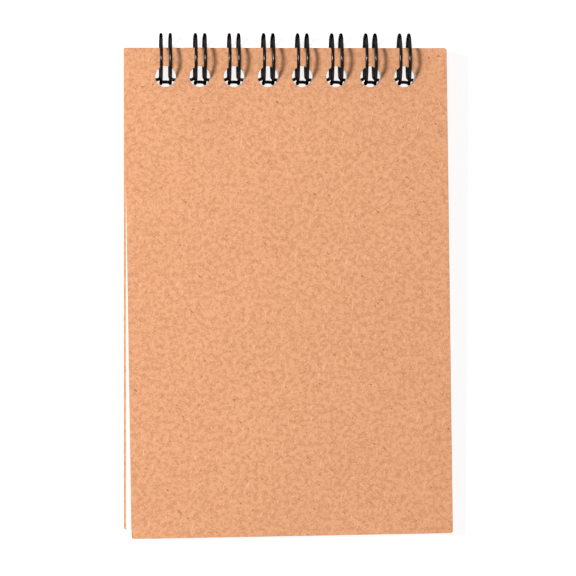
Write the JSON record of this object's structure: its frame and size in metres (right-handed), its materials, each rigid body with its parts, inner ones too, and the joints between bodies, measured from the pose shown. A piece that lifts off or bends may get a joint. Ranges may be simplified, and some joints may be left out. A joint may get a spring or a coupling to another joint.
{
  "type": "pocket notebook",
  "caption": "Top-bound pocket notebook: stiff kraft covers and a pad of loose sheets turning on a black twin-loop wire.",
  "frame": {"origin": "middle of the back cover's outer face", "axes": "+X along the binding, +Y towards the bound edge, +Z out of the front cover"},
  "size_m": [0.0819, 0.1256, 0.013],
  "materials": {
    "kraft_board": "uncoated kraft board, fine fibres",
    "black_wire": "glossy black coated steel wire",
    "plain_paper": "uncoated white paper"
  },
  "bodies": {
    "pad": {"back_cover": "kraft_board", "sheet_04": "plain_paper", "sheet_05": "plain_paper", "sheet_06": "plain_paper", "sheet_07": "plain_paper", "sheet_08": "plain_paper", "sheet_09": "plain_paper", "sheet_10": "plain_paper", "sheet_11": "plain_paper", "sheet_12": "plain_paper", "sheet_13": "plain_paper", "sheet_14": "plain_paper", "sheet_15": "plain_paper", "sheet_16": "plain_paper", "sheet_17": "plain_paper", "sheet_18": "plain_paper", "sheet_19": "plain_paper", "sheet_20": "plain_paper", "sheet_21": "plain_paper", "sheet_22": "plain_paper", "sheet_23": "plain_paper", "sheet_24": "plain_paper", "sheet_25": "plain_paper", "sheet_26": "plain_paper", "sheet_27": "plain_paper", "sheet_28": "plain_paper", "sheet_29": "plain_paper", "sheet_30": "plain_paper", "sheet_31": "plain_paper", "sheet_32": "plain_paper", "sheet_33": "plain_paper", "sheet_34": "plain_paper", "sheet_35": "plain_paper", "sheet_36": "plain_paper", "sheet_37": "plain_paper", "sheet_38": "plain_paper", "sheet_39": "plain_paper", "sheet_40": "plain_paper", "sheet_41": "plain_paper", "sheet_42": "plain_paper"},
    "front_cover": {"front_cover": "kraft_board"},
    "binding": {"binding_wire": "black_wire"},
    "sheet_01": {"sheet_01": "plain_paper"},
    "sheet_02": {"sheet_02": "plain_paper"},
    "sheet_03": {"sheet_03": "plain_paper"}
  },
  "joints": [
    {"name": "cover_turn", "type": "hinge", "parent": "pad", "child": "front_cover", "pos_m": [0, 0.05952, 0.00237], "axis": [-1, 0, 0], "range_deg": [0, 180]},
    {"name": "wire_slide", "type": "slide", "parent": "pad", "child": "binding", "axis": [0, 1, 0], "range_m": [0, 0.0028]},
    {"name": "sheet_01_turn", "type": "hinge", "parent": "pad", "child": "sheet_01", "pos_m": [0, 0.05979, 0.00319], "axis": [-1, 0, 0], "range_deg": [0, 136]},
    {"name": "sheet_02_turn", "type": "hinge", "parent": "pad", "child": "sheet_02", "pos_m": [0, 0.05983, 0.00343], "axis": [-1, 0, 0], "range_deg": [0, 91]},
    {"name": "sheet_03_turn", "type": "hinge", "parent": "pad", "child": "sheet_03", "pos_m": [0, 0.05986, 0.00355], "axis": [-1, 0, 0], "range_deg": [0, 46]}
  ],
  "couplings": [
    {"joint": "wire_slide", "follows": "cover_turn", "m_per_rad": 0.0008849},
    {"joint": "sheet_01_turn", "follows": "cover_turn", "ratio": 0.75},
    {"joint": "sheet_02_turn", "follows": "cover_turn", "ratio": 0.5},
    {"joint": "sheet_03_turn", "follows": "cover_turn", "ratio": 0.25}
  ]
}
